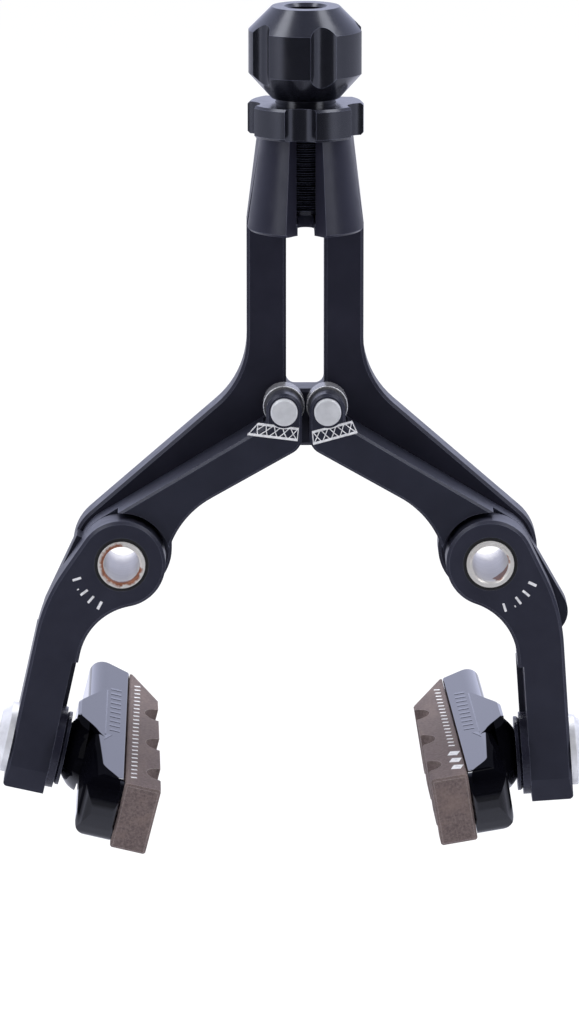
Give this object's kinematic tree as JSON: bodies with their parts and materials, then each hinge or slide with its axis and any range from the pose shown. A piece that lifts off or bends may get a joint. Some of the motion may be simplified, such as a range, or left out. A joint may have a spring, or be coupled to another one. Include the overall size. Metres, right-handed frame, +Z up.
{
  "type": "direct mount caliper brake",
  "caption": "Centre-pull caliper brake for a direct mount: forked frame with a cable adjuster, sprung cam links with rollers, and pad arms with brake shoes.",
  "frame": {"origin": "midway between the two mounting bores, on the rear mounting plane", "axes": "+X to the right seen from the front, +Y to the rear along the mounting bolts, +Z up towards the cable"},
  "size_m": [0.1006, 0.0574, 0.1391],
  "materials": {
    "anodised_frame": "satin dark anodised",
    "anodised_knob": "satin dark anodised",
    "anodised_ring": "satin dark anodised",
    "anodised_link": "satin dark anodised",
    "anodised_arm": "satin dark anodised",
    "sleeve_steel": "turned",
    "bush_polymer": "matte",
    "spring_steel": "drawn wire",
    "roller_polymer": "smooth",
    "pin_steel": "turned",
    "black_screw": "black oxide",
    "nut_steel": "bright",
    "post_steel": "turned",
    "washer_black": "black",
    "dish_black": "black",
    "holder_black": "gloss black",
    "pad_compound": "matte brown-grey compound"
  },
  "bodies": {
    "frame": {"stirrup_frame": "anodised_frame", "left_pivot_sleeve": "sleeve_steel", "left_return_spring": "spring_steel", "right_pivot_sleeve": "sleeve_steel", "right_return_spring": "spring_steel"},
    "adjuster": {"barrel_adjuster": "anodised_knob"},
    "lock_ring": {"adjuster_lock_ring": "anodised_ring"},
    "left_arm": {"left_cam_link": "anodised_link", "left_pad_arm": "anodised_arm", "left_link_bush": "bush_polymer", "left_pad_arm_bush": "bush_polymer", "left_roller_pin": "pin_steel", "left_arm_clamp_screw": "black_screw", "left_shoe_nut": "nut_steel", "left_shoe_post": "post_steel", "left_flat_washer": "washer_black", "left_dished_washer": "dish_black", "left_shoe_holder": "holder_black", "left_pad_keeper": "black_screw", "left_pad_insert": "pad_compound"},
    "left_roller": {"left_cam_roller": "roller_polymer"},
    "right_arm": {"right_cam_link": "anodised_link", "right_pad_arm": "anodised_arm", "right_link_bush": "bush_polymer", "right_pad_arm_bush": "bush_polymer", "right_roller_pin": "pin_steel", "right_arm_clamp_screw": "black_screw", "right_shoe_nut": "nut_steel", "right_shoe_post": "post_steel", "right_flat_washer": "washer_black", "right_dished_washer": "dish_black", "right_shoe_holder": "holder_black", "right_pad_keeper": "black_screw", "right_pad_insert": "pad_compound"},
    "right_roller": {"right_cam_roller": "roller_polymer"}
  },
  "joints": [
    {"name": "left_arm_swing", "type": "hinge", "parent": "frame", "child": "left_arm", "pos_m": [-0.031, -0.0105, 0], "axis": [0, -1, 0], "range_deg": [0, 20], "stiffness_Nm_per_rad": 0.9, "springref_deg": -28.65, "deforming": ["left_return_spring"]},
    {"name": "left_roller_spin", "type": "hinge", "parent": "left_arm", "child": "left_roller", "pos_m": [-0.00365, -0.0121, 0.0257], "axis": [0, -1, 0], "continuous": true},
    {"name": "right_arm_swing", "type": "hinge", "parent": "frame", "child": "right_arm", "pos_m": [0.031, -0.0105, 0], "axis": [0, 1, 0], "range_deg": [0, 20], "stiffness_Nm_per_rad": 0.9, "springref_deg": -28.65, "deforming": ["right_return_spring"]},
    {"name": "right_roller_spin", "type": "hinge", "parent": "right_arm", "child": "right_roller", "pos_m": [0.00365, -0.0121, 0.0257], "axis": [0, 1, 0], "continuous": true},
    {"name": "adjuster_turn", "type": "hinge", "parent": "frame", "child": "adjuster", "pos_m": [0, -0.01375, 0.086], "axis": [0, 0, 1], "continuous": true},
    {"name": "lock_ring_turn", "type": "hinge", "parent": "frame", "child": "lock_ring", "pos_m": [0, -0.01375, 0.075], "axis": [0, 0, 1], "continuous": true}
  ]
}
